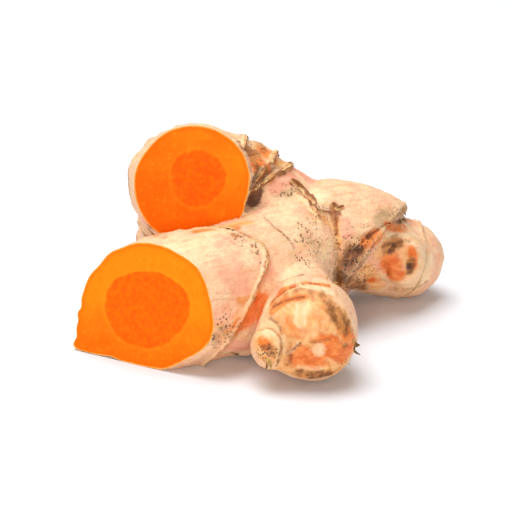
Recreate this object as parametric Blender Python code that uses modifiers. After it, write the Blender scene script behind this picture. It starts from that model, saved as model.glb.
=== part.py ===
"""A fresh turmeric rhizome, lying on a table, with two of its fingers sliced through.

The rhizome is one grown piece, so it is one solid. Its fingers are tubes of swelling and shrinking
radius that run along curved centre lines and melt into each other where they branch. Each finger
carries the rings where leaf scales once sat, and small buds, healed scars and dents lie between
them. Two fingers end in flat knife cuts, and the underside is pressed flat where it rests.
Lengths are in millimetres, and are turned into metres where a mesh is made.
"""

import bmesh
import bpy
import numpy as np
from mathutils import Matrix, Vector

MM = 0.001
NAME = "turmeric_rhizome"

# The middle of the outline seen from above, in the frame that the fingers are laid out in.
MIDDLE = (2.45, 2.97)

# Centre lines, as points of x, y, z and radius. A finger that is sliced starts at its cut.
MOTHER = (
    (-37.0, -20.0, 11.4, 12.0),
    (-23.0, -13.7, 12.8, 13.2),
    (-12.0, -8.6, 13.3, 13.8),
    (-3.3, -2.9, 13.9, 13.7),
    (5.0, 7.0, 15.5, 13.2),
    (13.6, 16.0, 16.8, 12.6),
    (21.5, 21.5, 15.0, 11.8),
    (27.5, 24.6, 11.0, 9.9),
    (32.4, 26.0, 8.8, 9.1),
)
UPPER = (
    (-11.4, -3.0, 34.9, 12.1),
    (-12.7, 3.0, 34.1, 12.1),
    (-14.5, 7.5, 32.3, 12.0),
    (-11.8, 12.5, 31.0, 11.2),
    (-4.6, 16.0, 29.4, 10.4),
    (3.4, 17.5, 25.0, 9.2),
    (10.0, 18.0, 17.0, 9.6),
)
LEG = (
    (-13.5, 12.0, 31.0, 9.5),
    (-16.3, 15.5, 21.0, 8.9),
    (-15.6, 19.5, 8.6, 8.9),
)
KNOB = (
    (5.5, 3.0, 14.0, 8.0),
    (8.2, -8.0, 12.6, 7.9),
    (9.8, -14.5, 11.0, 9.6),
    (10.7, -20.3, 10.0, 10.3),
)

# Rings and folds of each finger: the points and facings of the planes that a line follows, with
# the far side past all of them; where it is centred and how far it reaches; the height of its
# ridge, or the depth of its groove as a height below zero; and the step down to its far side.
MOTHER_RINGS = (
    ((((-3.3, -9.7, 26.0), (0.35, 0.87, 0.36)), ((-1.8, -18.2, 16.2), (0.85, 0.14, -0.51))),
     (-4.0, -9.0, 15.0), 20.0, 1.0, 0.6),
    ((((10.4, 8.3, 29.2), (0.83, 0.53, 0.11)),), (10.4, 8.3, 28.0), 7.0, 0.7, -0.6),
    ((((17.3, 2.6, 19.5), (0.95, 0.28, 0.0)),), (17.0, 3.0, 18.5), 9.5, -1.0, -0.7),
    ((((24.2, 9.9, 15.5), (0.81, -0.28, -0.52)),), (25.0, 19.0, 14.0), 20.0, 0.5, 1.8),
    ((((36.5, 18.7, 12.0), (0.91, 0.29, -0.30)),), (33.0, 25.0, 9.0), 15.0, 0.5, 0.3),
    ((((-17.0, 3.0, 12.0), (0.90, 0.43, 0.0)),), (-18.0, 3.0, 11.0), 10.0, 0.7, 0.4),
    ((((4.0, 21.0, 13.0), (0.80, 0.60, 0.1)),), (4.0, 21.0, 12.0), 12.0, 0.7, 0.4),
)
UPPER_RINGS = (
    ((((-2.4, 13.0, 39.5), (0.95, 0.0, -0.30)),), (-3.0, 18.0, 33.0), 12.0, 0.8, 0.3),
    ((((2.4, 12.2, 34.9), (0.80, -0.18, -0.57)),), (3.0, 18.5, 29.0), 12.0, 1.0, 0.4),
    ((((5.1, 12.3, 33.6), (0.55, -0.27, -0.79)),), (5.0, 17.0, 25.0), 14.0, 0.7, 0.0),
    ((((-15.0, 9.5, 33.0), (-0.2, 0.98, -0.05)),), (-16.0, 12.0, 33.0), 15.0, 0.6, 0.3),
)
LEG_RINGS = (
    ((((-16.0, 15.5, 21.5), (0.0, 0.30, -0.95)),), (-16.0, 15.5, 21.5), 14.0, 0.7, 0.4),
    ((((-15.8, 17.0, 15.5), (0.0, 0.20, -0.98)),), (-15.8, 17.0, 15.5), 14.0, 0.7, 0.3),
    ((((-15.6, 19.0, 9.5), (0.1, 0.10, -0.99)),), (-15.6, 19.0, 9.5), 14.0, 0.7, 0.3),
)
KNOB_RINGS = (
    ((((9.6, -13.4, 11.3), (0.12, -0.98, -0.15)),), (9.6, -13.4, 11.3), 14.0, -1.3, 0.0),
    ((((6.4, -23.0, 17.8), (-0.09, -0.95, 0.30)),), (6.0, -22.6, 18.0), 7.0, 0.4, 0.5),
    ((((4.5, -28.0, 10.9), (0.72, 0.69, -0.13)),), (4.5, -28.0, 10.5), 7.0, -1.0, 0.3),
)

FINGERS = {
    "mother": (MOTHER, MOTHER_RINGS),
    "upper": (UPPER, UPPER_RINGS),
    "leg": (LEG, LEG_RINGS),
    "knob": (KNOB, KNOB_RINGS),
}

# Buds and finger stubs, as a root and a tip of x, y, z and radius.
BUDS = {
    "knob_bud": ((6.0, -20.5, 9.5, 5.5), (3.6, -24.2, 8.0, 4.6)),
    "crotch_bud": ((-2.0, -6.0, 5.5, 4.0), (-2.6, -10.6, 4.0, 2.9)),
    "scar_stub": ((31.6, 23.0, 9.8, 7.6), (31.4, 16.6, 12.2, 5.6)),
    "cut_corner": ((-22.0, -5.0, 5.0, 4.6), (-36.0, -9.2, 2.6, 2.8)),
    "back_bud": ((8.0, 24.0, 17.0, 6.0), (5.6, 30.4, 19.0, 4.2)),
    "leg_bud": ((-17.0, 16.0, 17.0, 5.5), (-22.0, 21.5, 15.0, 4.3)),
    "elbow_bud": ((-14.0, 12.0, 33.0, 7.0), (-16.5, 20.0, 32.5, 5.4)),
}

# Healed scars and hollows, as x, y, z, how wide they are and how deep.
DENTS = (
    (12.2, -29.6, 8.0, 5.0, 1.2),
    (31.8, 12.4, 13.6, 4.2, 1.5),
    (16.3, 5.9, 26.3, 2.4, 1.3),
    (4.8, 34.6, 19.8, 3.0, 1.2),
    (-18.2, 25.2, 32.0, 3.6, 1.4),
)

RIDGE = 0.8  # how wide a ring's ridge or a fold's groove is
WAIST = (0.45, 3.2)  # how far the skin draws in beside a line, and over what length
SHEATH = (0.5, 7.0)  # over what length a step drops, and over what length its height fades
FADE = 6  # how suddenly a line ends at its reach: the power in exp(-x**power)
LUMPS = ((13.0, 0.28), (6.0, 0.10))  # wavelengths and heights of the skin's unevenness
WAVES = 9  # how many waves of each length cross
BLEND = 0.6  # how softly fingers melt into each other
SOFT = 0.35  # how softly a point near a bend is shared between both sides of it
ROUNDS = ((1.0, 5), (0.8, 3))  # the skin's squares and how often it is settled, in each round
STRIDE = 0.8  # how much of the way to the surface each settling step takes
NUDGE = 0.05  # the step over which the field's slope is measured
FLATTEST = 0.2  # the least steepness that a settling step reckons with
TRIANGLES = 10600  # how many triangles are kept for it
SHARP = np.radians(50)  # edges bent by more than this stay sharp

# Knife cuts: a point on the face, the way it faces, and the cutter's half width and depth.
FRONT_CUT = ((-23.0, -13.7, 13.5), (-0.51, -0.854, 0.10), 28.0, 30.0)
UPPER_CUT = ((-12.2, 3.4, 36.9), (0.08, -0.987, 0.14), 16.0, 1.6)
SPARE = 0.7  # how far the upper finger is grown past its cut
TABLE = 60.0  # half width of the flat that the underside is pressed against


def smooth_path(points, steps=8):
    """Points on a curve through the given ones: cubic pieces that share their slopes."""
    knots = np.array(points, float)
    slopes = np.gradient(knots, axis=0)
    t = np.linspace(0, 1, steps, endpoint=False)[:, None]
    spans = [
        (2 * t**3 - 3 * t**2 + 1) * a
        + (t**3 - 2 * t**2 + t) * slope_a
        + (3 * t**2 - 2 * t**3) * b
        + (t**3 - t**2) * slope_b
        for a, b, slope_a, slope_b in zip(knots[:-1], knots[1:], slopes[:-1], slopes[1:])
    ]
    return np.vstack(spans + [knots[-1:]])


def along(spots, path):
    """For each spot, how far from the path it lies, and the path's radius there.

    Each straight piece of the path counts by how near it is, so nothing jumps inside a bend.
    """
    start, run = path[:-1], np.diff(path[:, :3], axis=0)
    length = np.linalg.norm(run, axis=1)
    offset = spots[:, None, :] - start[None, :, :3]
    share = np.clip((offset * run).sum(2) / length**2, 0, 1)
    gap = np.linalg.norm(offset - share[:, :, None] * run, axis=2)
    weight = np.exp((gap.min(axis=1, keepdims=True) - gap) / SOFT)
    weight /= weight.sum(axis=1, keepdims=True)
    radius = (weight * (start[:, 3] + share * np.diff(path[:, 3]))).sum(axis=1)
    return (weight * gap).sum(axis=1) - SOFT / 2, radius


def ring_relief(spots, rings):
    """How far the skin stands out near a finger's rings: ridges, waists beside them and steps."""
    relief = np.zeros(len(spots))
    for planes, middle, reach, ridge, step in rings:
        past = np.full(len(spots), -np.inf)
        for point, facing in planes:
            past = np.maximum(past, (spots - point) @ facing)
        near = np.exp(-((np.linalg.norm(spots - middle, axis=1) / reach) ** FADE))
        line = ridge * np.exp(-((past / RIDGE) ** 2)) - WAIST[0] * np.exp(-((past / WAIST[1]) ** 2))
        drop = (1 - np.tanh(past / SHEATH[0])) / 2 * np.exp(-np.abs(past) / SHEATH[1])
        relief += near * (line + step * drop)
    return relief


def lumps(spots, seed=11):
    """Slow unevenness: waves that cross each other at random angles, for each wavelength."""
    draw = np.random.default_rng(seed)
    total = np.zeros(len(spots))
    for wavelength, height in LUMPS:
        heading = draw.normal(size=(WAVES, 3))
        heading *= 2 * np.pi / wavelength / np.linalg.norm(heading, axis=1, keepdims=True)
        shift = draw.uniform(0, 2 * np.pi, WAVES)
        total += height * np.sin(spots @ heading.T + shift).sum(axis=1) / 3
    return total


def past_upper_cut(spots):
    """How far in front of the upper finger's spare slice each spot is."""
    return (spots - UPPER_CUT[0]) @ UPPER_CUT[1] - SPARE


def rhizome_field(spots):
    """How far outside the rhizome each spot is, with its fingers and buds melted together."""
    fields = []
    for name, (finger, rings) in FINGERS.items():
        gap, radius = along(spots, smooth_path(finger))
        field = gap - radius - ring_relief(spots, rings)
        if name == "upper":
            field = np.maximum(field, past_upper_cut(spots))
        fields.append(field)
    for bud in BUDS.values():
        gap, radius = along(spots, np.array(bud))
        fields.append(gap - radius)
    together = -BLEND * np.log(np.exp(-np.array(fields) / BLEND).sum(axis=0))
    for x, y, z, width, depth in DENTS:
        reach = np.linalg.norm(spots - (x, y, z), axis=1) / width
        together += depth * np.exp(-(reach**2))
    return together - lumps(spots)


def tube(name, path):
    """A finger as a curve with a round bevel, whose radius follows the centre line."""
    curve = bpy.data.curves.new(name, "CURVE")
    curve.dimensions = "3D"
    curve.bevel_depth = MM
    curve.bevel_resolution = 6
    curve.use_fill_caps = True
    spline = curve.splines.new("POLY")
    spline.points.add(len(path) - 1)
    for point, (x, y, z, radius) in zip(spline.points, path):
        point.co = (x * MM, y * MM, z * MM, 1)
        point.radius = radius
    made = bpy.data.objects.new(name, curve)
    bpy.context.scene.collection.objects.link(made)
    return made


def evaluated_mesh(made):
    """The object's mesh as its modifiers or its bevel leave it."""
    graph = bpy.context.evaluated_depsgraph_get()
    return bpy.data.meshes.new_from_object(made.evaluated_get(graph))


def rough_fingers():
    """Every finger and bud as a plain tube with a ball at each grown end, in one mesh."""
    joined = bmesh.new()
    paths = {name: smooth_path(finger) for name, (finger, _) in FINGERS.items()}
    paths["upper"] = paths["upper"][past_upper_cut(paths["upper"][:, :3]) < 0]
    paths.update({name: np.array(bud) for name, bud in BUDS.items()})
    for name, path in paths.items():
        made = tube(name, path)
        joined.from_mesh(evaluated_mesh(made))
        bpy.data.objects.remove(made)
        x, y, z, radius = path[-1]
        place = Matrix.Translation(Vector((x, y, z)) * MM)
        bmesh.ops.create_uvsphere(
            joined, u_segments=24, v_segments=16, radius=radius * MM, matrix=place
        )
    bmesh.ops.remove_doubles(joined, verts=joined.verts, dist=1e-7)
    mesh = bpy.data.meshes.new(NAME)
    joined.to_mesh(mesh)
    joined.free()
    return mesh


def settle(mesh, passes):
    """Moves each vertex straight down the field's slope until it lies on the rhizome's surface."""
    spots = np.empty(len(mesh.vertices) * 3)
    mesh.vertices.foreach_get("co", spots)
    spots = spots.reshape(-1, 3) / MM
    for _ in range(passes):
        out = rhizome_field(spots)
        slope = np.stack([rhizome_field(spots + step) - out for step in NUDGE * np.eye(3)], axis=1)
        steepness = np.maximum((slope**2).sum(axis=1, keepdims=True), FLATTEST * NUDGE**2)
        spots -= STRIDE * NUDGE * np.clip(out, -1, 1)[:, None] * slope / steepness
    mesh.vertices.foreach_set("co", (spots * MM).ravel())
    mesh.update()


def knife(name, cut, flesh, collection):
    """A round plug that starts at the cut's face and leaves bare flesh where it cuts."""
    point, facing, half_width, depth = cut
    turn = Vector(facing).to_track_quat("Z", "Y")
    middle = Vector(point) + Vector(facing).normalized() * depth / 2
    bpy.ops.mesh.primitive_cylinder_add(
        vertices=48,
        radius=half_width * MM,
        depth=depth * MM,
        location=middle * MM,
        rotation=turn.to_euler(),
    )
    return put_away(bpy.context.object, name, flesh, collection)


def table_top(skin, collection):
    """The block below the table's top, which presses the skin of the underside flat."""
    bpy.ops.mesh.primitive_cube_add(size=2 * TABLE * MM, location=(0, 0, -TABLE * MM))
    return put_away(bpy.context.object, "table_top", skin, collection)


def put_away(made, name, material, collection):
    """Names a cutter, gives it what its faces leave, and keeps it out of renders."""
    made.name = name
    made.data.materials.append(material)
    made.hide_render = True
    made.display_type = "WIRE"
    for old in list(made.users_collection):
        old.objects.unlink(made)
    collection.objects.link(made)
    return made


def plain_material(name, colour, roughness):
    """A material of one colour that isn't metal."""
    material = bpy.data.materials.new(name)
    material.use_nodes = True
    shader = material.node_tree.nodes["Principled BSDF"]
    shader.inputs["Base Color"].default_value = colour
    shader.inputs["Roughness"].default_value = roughness
    shader.inputs["Metallic"].default_value = 0.0
    return material


def main():
    for old in list(bpy.data.objects):
        bpy.data.objects.remove(old)
    parts = bpy.data.collections.new("turmeric")
    cutters = bpy.data.collections.new("cutters")
    for collection in (parts, cutters):
        bpy.context.scene.collection.children.link(collection)

    skin = plain_material("turmeric_skin", (0.83, 0.55, 0.33, 1), 0.55)
    flesh = plain_material("turmeric_flesh", (1.0, 0.25, 0.01, 1), 0.4)
    rhizome = bpy.data.objects.new(NAME, rough_fingers())
    parts.objects.link(rhizome)
    for square, passes in ROUNDS:
        remesh = rhizome.modifiers.new("one_skin", "REMESH")
        remesh.mode = "VOXEL"
        remesh.voxel_size = square * MM
        grown = evaluated_mesh(rhizome)
        rhizome.modifiers.clear()
        rhizome.data = grown
        settle(grown, passes)

    grown.materials.append(skin)
    thin = rhizome.modifiers.new("fewer_faces", "DECIMATE")
    thin.ratio = TRIANGLES / (2 * len(grown.polygons))
    for made in (
        knife("front_knife", FRONT_CUT, flesh, cutters),
        knife("upper_knife", UPPER_CUT, flesh, cutters),
        table_top(skin, cutters),
    ):
        slice_off = rhizome.modifiers.new(made.name, "BOOLEAN")
        slice_off.operation = "DIFFERENCE"
        slice_off.material_mode = "TRANSFER"
        slice_off.object = made
    shape = evaluated_mesh(rhizome)
    rhizome.modifiers.clear()
    rhizome.data = shape
    shape.transform(Matrix.Translation((-MIDDLE[0] * MM, -MIDDLE[1] * MM, 0)))
    shape.shade_smooth()
    shape.set_sharp_from_angle(angle=SHARP)


main()
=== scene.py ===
"""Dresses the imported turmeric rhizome: a finely grown skin, two sliced faces, dry scales and rootlets."""

import math

import bmesh
import bpy
import numpy as np
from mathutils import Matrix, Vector, bvhtree as bvh


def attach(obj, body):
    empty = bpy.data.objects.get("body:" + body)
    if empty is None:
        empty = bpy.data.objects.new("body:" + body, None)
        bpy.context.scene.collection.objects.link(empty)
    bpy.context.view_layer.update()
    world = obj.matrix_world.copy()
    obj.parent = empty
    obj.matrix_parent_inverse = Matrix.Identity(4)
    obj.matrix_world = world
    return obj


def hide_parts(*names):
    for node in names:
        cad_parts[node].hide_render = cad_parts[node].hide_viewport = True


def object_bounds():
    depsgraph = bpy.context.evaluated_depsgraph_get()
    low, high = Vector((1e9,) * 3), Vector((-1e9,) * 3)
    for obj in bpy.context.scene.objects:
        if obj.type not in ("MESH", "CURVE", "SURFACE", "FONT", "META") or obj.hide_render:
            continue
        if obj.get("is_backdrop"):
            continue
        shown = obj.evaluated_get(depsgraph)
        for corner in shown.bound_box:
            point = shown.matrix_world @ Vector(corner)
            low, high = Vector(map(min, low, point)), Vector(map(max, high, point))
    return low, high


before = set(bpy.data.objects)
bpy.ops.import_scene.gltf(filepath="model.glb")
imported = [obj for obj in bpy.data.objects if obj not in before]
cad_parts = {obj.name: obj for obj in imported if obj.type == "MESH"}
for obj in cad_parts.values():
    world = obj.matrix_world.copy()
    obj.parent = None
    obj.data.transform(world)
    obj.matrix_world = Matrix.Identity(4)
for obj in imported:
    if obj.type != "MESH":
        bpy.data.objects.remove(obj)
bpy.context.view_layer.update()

# The camera stands where the photographer stood: low, in front, with a long lens, so that both
# sliced faces look at it. It aims at the fork of the fingers, where the layout has its origin.
LOOK_DOWN = math.radians(20)
STAND_OFF = 0.450
AIM = Vector((-0.00245, -0.00297, 0.0188))
PICTURE_WIDTH = 0.1075

camera = bpy.data.objects.new("camera", bpy.data.cameras.new("camera"))
bpy.context.scene.collection.objects.link(camera)
bpy.context.scene.camera = camera
towards_camera = Vector((0, -math.cos(LOOK_DOWN), math.sin(LOOK_DOWN)))
camera.location = AIM + towards_camera * STAND_OFF
camera.rotation_mode = "QUATERNION"
camera.rotation_quaternion = (-towards_camera).to_track_quat("-Z", "Y")
camera.data.sensor_width = 36
camera.data.lens = camera.data.sensor_width * STAND_OFF / PICTURE_WIDTH


# The body of the rhizome: fingers of swelling and shrinking radius that grew along curved lines
# and fused where they branch. It is living flesh under a thin skin, ringed where leaf scales sat.
# Lengths here are in millimetres, laid out in a frame whose origin is MIDDLE in the root's frame.
MM = 0.001
MIDDLE = np.array((2.45, 2.97, 0.0))

MOTHER = (
    (-37.0, -20.0, 11.4, 12.0),
    (-23.0, -13.7, 12.8, 13.2),
    (-12.0, -8.6, 13.3, 13.8),
    (-3.3, -2.9, 13.9, 13.7),
    (5.0, 7.0, 15.5, 13.2),
    (13.6, 16.0, 16.8, 12.6),
    (21.5, 21.5, 15.0, 11.8),
    (27.5, 24.6, 11.0, 9.9),
    (32.4, 26.0, 8.8, 9.1),
)
UPPER = (
    (-11.4, -3.0, 34.9, 12.1),
    (-12.7, 3.0, 34.1, 12.1),
    (-14.5, 7.5, 32.3, 12.0),
    (-11.8, 12.5, 31.0, 11.2),
    (-4.6, 16.0, 29.4, 10.4),
    (3.4, 17.5, 25.0, 9.2),
    (10.0, 18.0, 17.0, 9.6),
)
LEG = (
    (-13.5, 12.0, 31.0, 9.5),
    (-16.3, 15.5, 21.0, 8.9),
    (-15.6, 19.5, 8.6, 8.9),
)
KNOB = (
    (5.5, 3.0, 14.0, 8.0),
    (8.2, -8.0, 12.6, 7.9),
    (9.8, -14.5, 11.0, 9.6),
    (10.7, -20.3, 10.0, 10.3),
)

# Rings and folds of each finger: the points and facings of the planes that a line follows, where
# it is centred and how far it reaches, its ridge (a groove below zero), the step down to its far
# side, and how dark its dry edge is, whose brown line is partly a painted shadow beside the ridge.
MOTHER_RINGS = (
    ((((-3.3, -9.7, 26.0), (0.35, 0.87, 0.36)), ((-1.8, -18.2, 16.2), (0.85, 0.14, -0.51))),
     (-4.0, -9.0, 15.0), 20.0, 1.0, 0.6, 0.8),
    ((((10.4, 8.3, 29.2), (0.83, 0.53, 0.11)),), (10.4, 8.3, 28.0), 7.0, 0.7, -0.6, 1.0),
    ((((17.3, 2.6, 19.5), (0.95, 0.28, 0.0)),), (17.0, 3.0, 18.5), 9.5, -1.0, -0.7, 0.5),
    ((((24.2, 9.9, 15.5), (0.81, -0.28, -0.52)),), (25.0, 19.0, 14.0), 20.0, 0.5, 2.5, 0.45),
    ((((36.5, 18.7, 12.0), (0.91, 0.29, -0.30)),), (33.0, 25.0, 9.0), 15.0, 0.5, 0.3, 0.5),
    ((((-17.0, 3.0, 12.0), (0.90, 0.43, 0.0)),), (-18.0, 3.0, 11.0), 10.0, 0.7, 0.4, 0.8),
    ((((4.0, 21.0, 13.0), (0.80, 0.60, 0.1)),), (4.0, 21.0, 12.0), 12.0, 0.7, 0.4, 0.8),
)
UPPER_RINGS = (
    ((((-2.4, 13.0, 39.5), (0.95, 0.0, -0.30)),), (-3.0, 18.0, 33.0), 12.0, 0.8, 0.3, 0.8),
    ((((2.4, 12.2, 34.9), (0.80, -0.18, -0.57)),), (3.0, 18.5, 29.0), 12.0, 1.0, 0.4, 0.9),
    ((((5.1, 12.3, 33.6), (0.55, -0.27, -0.79)),), (5.0, 17.0, 25.0), 14.0, 0.7, 0.0, 0.8),
    ((((-15.0, 9.5, 33.0), (-0.2, 0.98, -0.05)),), (-16.0, 12.0, 33.0), 15.0, 0.6, 0.3, 0.7),
)
LEG_RINGS = (
    ((((-16.0, 15.5, 21.5), (0.0, 0.30, -0.95)),), (-16.0, 15.5, 21.5), 14.0, 0.7, 0.4, 0.8),
    ((((-15.8, 17.0, 15.5), (0.0, 0.20, -0.98)),), (-15.8, 17.0, 15.5), 14.0, 0.7, 0.3, 0.8),
    ((((-15.6, 19.0, 9.5), (0.1, 0.10, -0.99)),), (-15.6, 19.0, 9.5), 14.0, 0.7, 0.3, 0.7),
)
KNOB_RINGS = (
    ((((9.6, -13.4, 11.3), (0.12, -0.98, -0.15)),), (9.6, -13.4, 11.3), 14.0, -1.3, 0.0, 0.9),
    ((((6.4, -23.0, 17.8), (-0.09, -0.95, 0.30)),), (6.0, -22.6, 18.0), 7.0, 0.4, 0.5, 0.6),
    ((((4.5, -28.0, 10.9), (0.72, 0.69, -0.13)),), (4.5, -28.0, 10.5), 7.0, -1.0, 0.3, 0.8),
)
FINGERS = (
    (MOTHER, MOTHER_RINGS),
    (UPPER, UPPER_RINGS),
    (LEG, LEG_RINGS),
    (KNOB, KNOB_RINGS),
)

# Buds and stubs, as a root and a tip of x, y, z and radius.
BUDS = (
    ((6.0, -20.5, 9.5, 5.5), (3.6, -24.2, 8.0, 4.6)),
    ((-2.0, -6.0, 5.5, 4.0), (-2.6, -10.6, 4.0, 2.9)),
    ((31.6, 23.0, 9.8, 7.6), (31.4, 16.6, 12.2, 5.6)),
    ((-22.0, -5.0, 5.0, 4.6), (-36.0, -9.2, 2.6, 2.8)),
    ((-34.0, -8.5, 2.6, 2.6), (-37.7, -5.9, 1.2, 0.8)),
    ((-33.0, -7.5, 8.6, 2.4), (-36.8, -5.9, 8.0, 0.7)),
    ((-33.5, -8.2, 5.4, 2.8), (-36.3, -6.9, 5.0, 1.7)),
    ((8.0, 24.0, 17.0, 6.0), (5.6, 30.4, 19.0, 4.2)),
    ((-17.0, 16.0, 17.0, 5.5), (-22.0, 21.5, 15.0, 4.3)),
    ((-14.0, 12.0, 33.0, 7.0), (-16.5, 20.0, 32.5, 5.4)),
)
# Healed scars and hollows, as x, y, z, how wide they are and how deep.
DENTS = (
    (12.2, -29.6, 8.0, 5.0, 1.2),
    (-13.0, -3.0, 27.6, 4.6, 1.1),
    (-6.5, 1.0, 27.6, 5.0, 1.3),
    (-34.5, -7.0, 20.5, 4.6, 0.9),
    (31.8, 12.4, 13.6, 4.2, 1.5),
    (16.3, 5.9, 26.3, 2.4, 1.3),
    (4.8, 34.6, 19.8, 3.0, 1.2),
    (-18.2, 25.2, 32.0, 3.6, 1.4),
)
# A ring's ridge has a half width, its waist a depth and a half width, its step a sharpness and a
# fade, and its line is uneven by a share over a length, and wanders.
RIDGE = 0.65
WAIST = (0.45, 3.2)
SHEATH = (0.35, 7.0)
UNEVEN = (0.3, 3.4)
WANDER = 0.35
# How softly a ring's planes, the fingers and the spans of a path meet.
CORNER = 1.6
BLEND = 0.6
SOFT = 0.35
FAR = 40.0
# Lumps in the skin, as a length and a height.
LUMPS = ((13.0, 0.28), (6.0, 0.10), (2.9, 0.055), (1.5, 0.03))
# Each cut has a point and a facing. Until it is trimmed, the flesh goes on past it by SPARE.
UPPER_CUT = ((-12.2, 3.4, 36.9), (0.08, -0.987, 0.14))
FRONT_CUT = ((-23.0, -13.7, 13.5), (-0.51, -0.854, 0.10))
SPARE = 0.6
# A slope is felt over NUDGE, and corners settle by a share of their way. A tube's angles start
# from ASIDE, where no finger points, and the upper finger's tube starts a few stations in.
NUDGE, LEAST_SLOPE = 0.05, 0.4
SETTLE = 0.85
CAP_RINGS = 6
ASIDE = (0.31, 0.17, 0.93)
SPANS, UPPER_FROM = 5, 8


def smooth_path(points, steps):
    """Points on a curve through the given ones: cubic pieces that share their slopes."""
    knots = np.array(points, float)
    slopes = np.gradient(knots, axis=0)
    t = np.linspace(0, 1, steps, endpoint=False)[:, None]
    spans = [
        (2 * t**3 - 3 * t**2 + 1) * a
        + (t**3 - 2 * t**2 + t) * slope_a
        + (3 * t**2 - 2 * t**3) * b
        + (t**3 - t**2) * slope_b
        for a, b, slope_a, slope_b in zip(knots[:-1], knots[1:], slopes[:-1], slopes[1:])
    ]
    return np.vstack(spans + [knots[-1:]])


def along(spots, path):
    """Distance from the path and the radius there, both shared softly between spans at bends."""
    start, run = path[:-1], np.diff(path[:, :3], axis=0)
    length = np.linalg.norm(run, axis=1)
    offset = spots[:, None, :] - start[None, :, :3]
    share = np.clip((offset * run).sum(2) / length**2, 0, 1)
    gap = np.linalg.norm(offset - share[:, :, None] * run, axis=2)
    weight = np.exp((gap.min(axis=1, keepdims=True) - gap) / SOFT)
    weight /= weight.sum(axis=1, keepdims=True)
    radius = (weight * (start[:, 3] + share * np.diff(path[:, 3]))).sum(axis=1)
    return (weight * gap).sum(axis=1) - SOFT / 2, radius


def waves(spots, wavelength, seed, count=9):
    """Smooth noise from -1 to 1 or so: waves of one length that cross at random angles."""
    draw = np.random.default_rng(seed)
    heading = draw.normal(size=(count, 3))
    heading *= 2 * np.pi / wavelength / np.linalg.norm(heading, axis=1, keepdims=True)
    shift = draw.uniform(0, 2 * np.pi, count)
    return np.sin(spots @ heading.T + shift).sum(axis=1) / math.sqrt(count)


def past_cut(spots, cut):
    """How far in front of a cut's face each spot is."""
    return (spots - cut[0]) @ cut[1] / np.linalg.norm(cut[1])


def past_planes(spots, planes):
    """How far past some planes each spot is, by a soft maximum that rounds the corner between them."""
    past = np.array([(spots - point) @ facing for point, facing in planes])
    return CORNER * (np.log(np.exp(past / CORNER).sum(axis=0)) - np.log(len(planes)))


def near_ring(spots, middle, reach):
    """1 round a ring's middle, and 0 past its reach, by a steep bell curve."""
    return np.exp(-((np.linalg.norm(spots - middle, axis=1) / reach) ** 6))


def ring_relief(spots, rings):
    """How far the skin stands out near a finger's rings: a ridge of uneven height on each line,
    a waist beside it, and a step down past it that fades behind."""
    relief = np.zeros(len(spots))
    uneven = UNEVEN[0] * waves(spots, UNEVEN[1], 5)
    for planes, middle, reach, ridge, step, _ in rings:
        past = past_planes(spots, planes) + WANDER * uneven
        line = ridge * (1 + uneven) * np.exp(-((past / RIDGE) ** 2))
        line -= WAIST[0] * np.exp(-((past / WAIST[1]) ** 2))
        drop = (1 - np.tanh(past / SHEATH[0])) / 2 * np.exp(-np.abs(past) / SHEATH[1])
        relief += near_ring(spots, middle, reach) * (line + step * drop)
    return relief


def finger_fields(spots):
    """For each finger and bud, how far outside it each spot is, less uneven waves of several
    lengths in the skin; far spots count as FAR. The upper finger ends just past its cut."""
    fields = np.full((len(FINGERS) + len(BUDS), len(spots)), FAR)
    lumps = sum(height * waves(spots, size, int(size * 10)) for size, height in LUMPS)
    shapes = [(PATHS[i], rings) for i, (_, rings) in enumerate(FINGERS)]
    shapes += [(np.array(bud), ()) for bud in BUDS]
    for field, (path, rings) in zip(fields, shapes):
        room = path[:, 3].max() + 5
        low, high = path[:, :3].min(axis=0) - room, path[:, :3].max(axis=0) + room
        near = ((spots > low) & (spots < high)).all(axis=1)
        gap, radius = along(spots[near], path)
        field[near] = gap - radius - lumps[near] - (ring_relief(spots[near], rings) if rings else 0)
    fields[1] = np.maximum(fields[1], past_cut(spots, UPPER_CUT) - SPARE)
    return fields


def rhizome_field(spots):
    """How far outside the root each spot is: fingers and buds melted together by a soft minimum,
    less dents, which spare the upper finger, all ending just past the front cut."""
    fields = finger_fields(spots)
    together = -BLEND * np.log(np.exp(-fields / BLEND).sum(axis=0))
    for x, y, z, width, depth in DENTS:
        reach = np.linalg.norm(spots - (x, y, z), axis=1) / width
        together += depth * np.exp(-(reach**2))
    return np.maximum(np.minimum(together, fields[1]), past_cut(spots, FRONT_CUT) - SPARE)


def slope_of(spots, out):
    """The direction in which the field grows fastest at each spot, as a unit vector."""
    slope = np.stack([rhizome_field(spots + step) - out for step in NUDGE * np.eye(3)], axis=1)
    return slope / np.maximum(np.linalg.norm(slope, axis=1, keepdims=True), LEAST_SLOPE * NUDGE)


def tube_grid(path, around=32):
    """A finger as a grid of two parameters, its length and the angle round it: circles of the
    path's radius, square to the path, closed by half a ball of rings at each end."""
    heading = np.gradient(path[:, :3], axis=0)
    heading /= np.linalg.norm(heading, axis=1, keepdims=True)
    bow = np.linspace(0, np.pi / 2, CAP_RINGS + 1)[1:, None]
    first, last = path[0], path[-1]
    start = np.hstack([first[:3] - heading[0] * first[3] * np.sin(bow), first[3] * np.cos(bow)])
    end = np.hstack([last[:3] + heading[-1] * last[3] * np.sin(bow), last[3] * np.cos(bow)])
    stations = np.vstack([start[::-1], path, end])
    heading = np.vstack([heading[:1].repeat(CAP_RINGS, 0), heading, heading[-1:].repeat(CAP_RINGS, 0)])
    side = np.cross(heading, ASIDE)
    side /= np.linalg.norm(side, axis=1, keepdims=True)
    over = np.cross(heading, side)
    turn = np.linspace(0, 2 * np.pi, around, endpoint=False)[None, :, None]
    rays = np.cos(turn) * side[:, None] + np.sin(turn) * over[:, None]
    return stations[:, None, :3] + stations[:, None, 3:] * rays


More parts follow.
